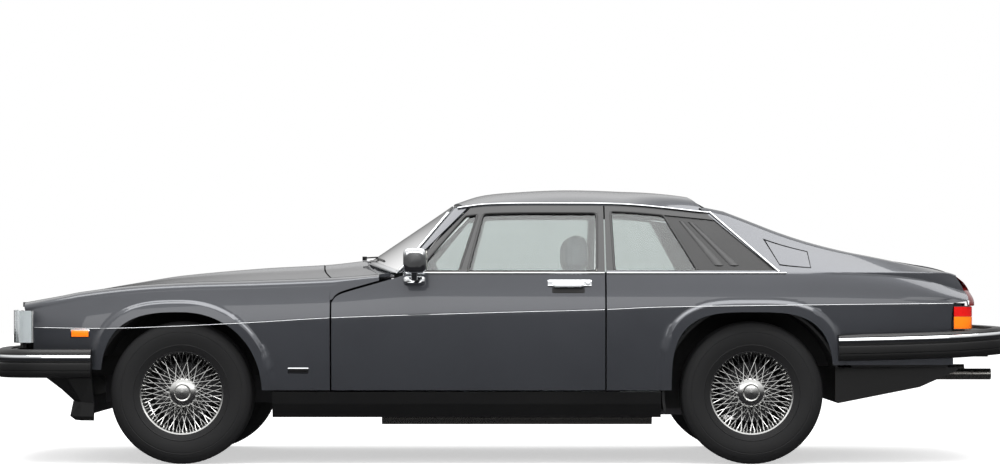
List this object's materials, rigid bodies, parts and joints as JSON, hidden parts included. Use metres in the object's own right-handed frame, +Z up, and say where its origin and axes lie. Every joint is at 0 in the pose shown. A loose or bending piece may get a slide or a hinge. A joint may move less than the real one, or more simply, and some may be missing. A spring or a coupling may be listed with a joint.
{
  "type": "coupe car",
  "caption": "Two-door grand touring coupe car with a long bonnet, flying buttresses, rubber-faced bumpers and wire wheels; doors, lids, steering and wheels move.",
  "frame": {"origin": "on the ground, in the middle of the length and width of the car", "axes": "front of the car at -X, right side of the car at +Y, +Z up"},
  "size_m": [4.774, 2.08, 1.2657],
  "materials": {
    "body_paint": "metallic silver-grey two-layer paint, polished",
    "underbody_paint": "satin black stone-chip paint",
    "glass": "lightly tinted, polished",
    "chrome": "polished",
    "rubber_trim": "satin black",
    "black_plastic": "fine grained",
    "lamp_clear": "ribbed clear lens over a bright reflector",
    "lamp_red": "ribbed red lens with an amber strip below",
    "running_gear": "bare casting, oiled",
    "exhaust_steel": "brushed, slightly browned",
    "wheel_chrome": "polished rim, hub and wire spokes",
    "tyre": "moulded tread and side wall",
    "leather": "grained, grey",
    "cabin_trim": "grained, dark"
  },
  "bodies": {
    "body": {"front_wings": "body_paint", "scuttle": "body_paint", "roof": "body_paint", "rear_quarters": "body_paint", "rear_deck": "body_paint", "tail_panel": "body_paint", "nose_panel": "body_paint", "fixed_windows": "glass", "quarter_vent_panel": "black_plastic", "valances": "black_plastic", "wipers": "black_plastic", "front_bumper": "rubber_trim", "rear_bumper": "rubber_trim", "headlamps": "lamp_clear", "tail_lamps": "lamp_red", "sills": "underbody_paint", "floor_pan": "underbody_paint", "front_bulkhead": "underbody_paint", "rear_bulkhead": "underbody_paint", "front_rails": "underbody_paint", "wheel_houses": "underbody_paint", "boot_floor": "underbody_paint", "engine": "running_gear", "front_suspension": "running_gear", "rear_suspension": "running_gear", "exhaust": "exhaust_steel", "dashboard": "cabin_trim", "front_seats": "leather", "rear_seat": "leather"},
    "door_left": {"door_left": "body_paint", "door_glass_left": "glass", "door_mirror_left": "chrome"},
    "door_right": {"door_right": "body_paint", "door_glass_right": "glass", "door_mirror_right": "chrome"},
    "bonnet": {"bonnet": "body_paint"},
    "boot_lid": {"boot_lid": "body_paint"},
    "fuel_flap": {"fuel_flap": "body_paint"},
    "knuckle_left": {"knuckle_left": "running_gear"},
    "knuckle_right": {"knuckle_right": "running_gear"},
    "steering_wheel": {"steering_wheel": "cabin_trim"},
    "wheel_front_left": {"wheel_front_left": "wheel_chrome", "tyre_front_left": "tyre"},
    "wheel_front_right": {"wheel_front_right": "wheel_chrome", "tyre_front_right": "tyre"},
    "wheel_rear_left": {"wheel_rear_left": "wheel_chrome", "tyre_rear_left": "tyre"},
    "wheel_rear_right": {"wheel_rear_right": "wheel_chrome", "tyre_rear_right": "tyre"}
  },
  "joints": [
    {"name": "door_left_hinge", "type": "hinge", "parent": "body", "child": "door_left", "pos_m": [-0.735, -0.876, 0.6], "axis": [0, 0, -1], "range_deg": [0, 65]},
    {"name": "door_right_hinge", "type": "hinge", "parent": "body", "child": "door_right", "pos_m": [-0.735, 0.876, 0.6], "axis": [0, 0, 1], "range_deg": [0, 65]},
    {"name": "bonnet_hinge", "type": "hinge", "parent": "body", "child": "bonnet", "pos_m": [-2.262, 0, 0.706], "axis": [0, -1, 0], "range_deg": [0, 50]},
    {"name": "boot_lid_hinge", "type": "hinge", "parent": "body", "child": "boot_lid", "pos_m": [1.58, 0, 0.948], "axis": [0, -1, 0], "range_deg": [0, 75]},
    {"name": "fuel_flap_hinge", "type": "hinge", "parent": "body", "child": "fuel_flap", "pos_m": [1.2776, -0.8109, 0.9105], "axis": [0.3524, -0.6246, -0.6969], "range_deg": [0, 80]},
    {"name": "steer_left", "type": "hinge", "parent": "body", "child": "knuckle_left", "pos_m": [-1.447, -0.67, 0.325], "axis": [0, 0, 1], "range_deg": [-32, 32]},
    {"name": "steer_right", "type": "hinge", "parent": "body", "child": "knuckle_right", "pos_m": [-1.447, 0.67, 0.325], "axis": [0, 0, 1], "range_deg": [-32, 32]},
    {"name": "steering_wheel_turn", "type": "hinge", "parent": "body", "child": "steering_wheel", "pos_m": [-0.255, -0.365, 0.772], "axis": [0.9136, 0, 0.4067], "range_deg": [-448, 448]},
    {"name": "wheel_front_left_spin", "type": "hinge", "parent": "knuckle_left", "child": "wheel_front_left", "pos_m": [-1.447, -0.744, 0.325], "axis": [0, 1, 0], "continuous": true},
    {"name": "wheel_front_right_spin", "type": "hinge", "parent": "knuckle_right", "child": "wheel_front_right", "pos_m": [-1.447, 0.744, 0.325], "axis": [0, 1, 0], "continuous": true},
    {"name": "wheel_rear_left_spin", "type": "hinge", "parent": "body", "child": "wheel_rear_left", "pos_m": [1.144, -0.75, 0.325], "axis": [0, 1, 0], "continuous": true},
    {"name": "wheel_rear_right_spin", "type": "hinge", "parent": "body", "child": "wheel_rear_right", "pos_m": [1.144, 0.75, 0.325], "axis": [0, 1, 0], "continuous": true}
  ],
  "couplings": [
    {"joint": "steer_right", "follows": "steer_left", "ratio": 1},
    {"joint": "steering_wheel_turn", "follows": "steer_left", "ratio": 14}
  ]
}
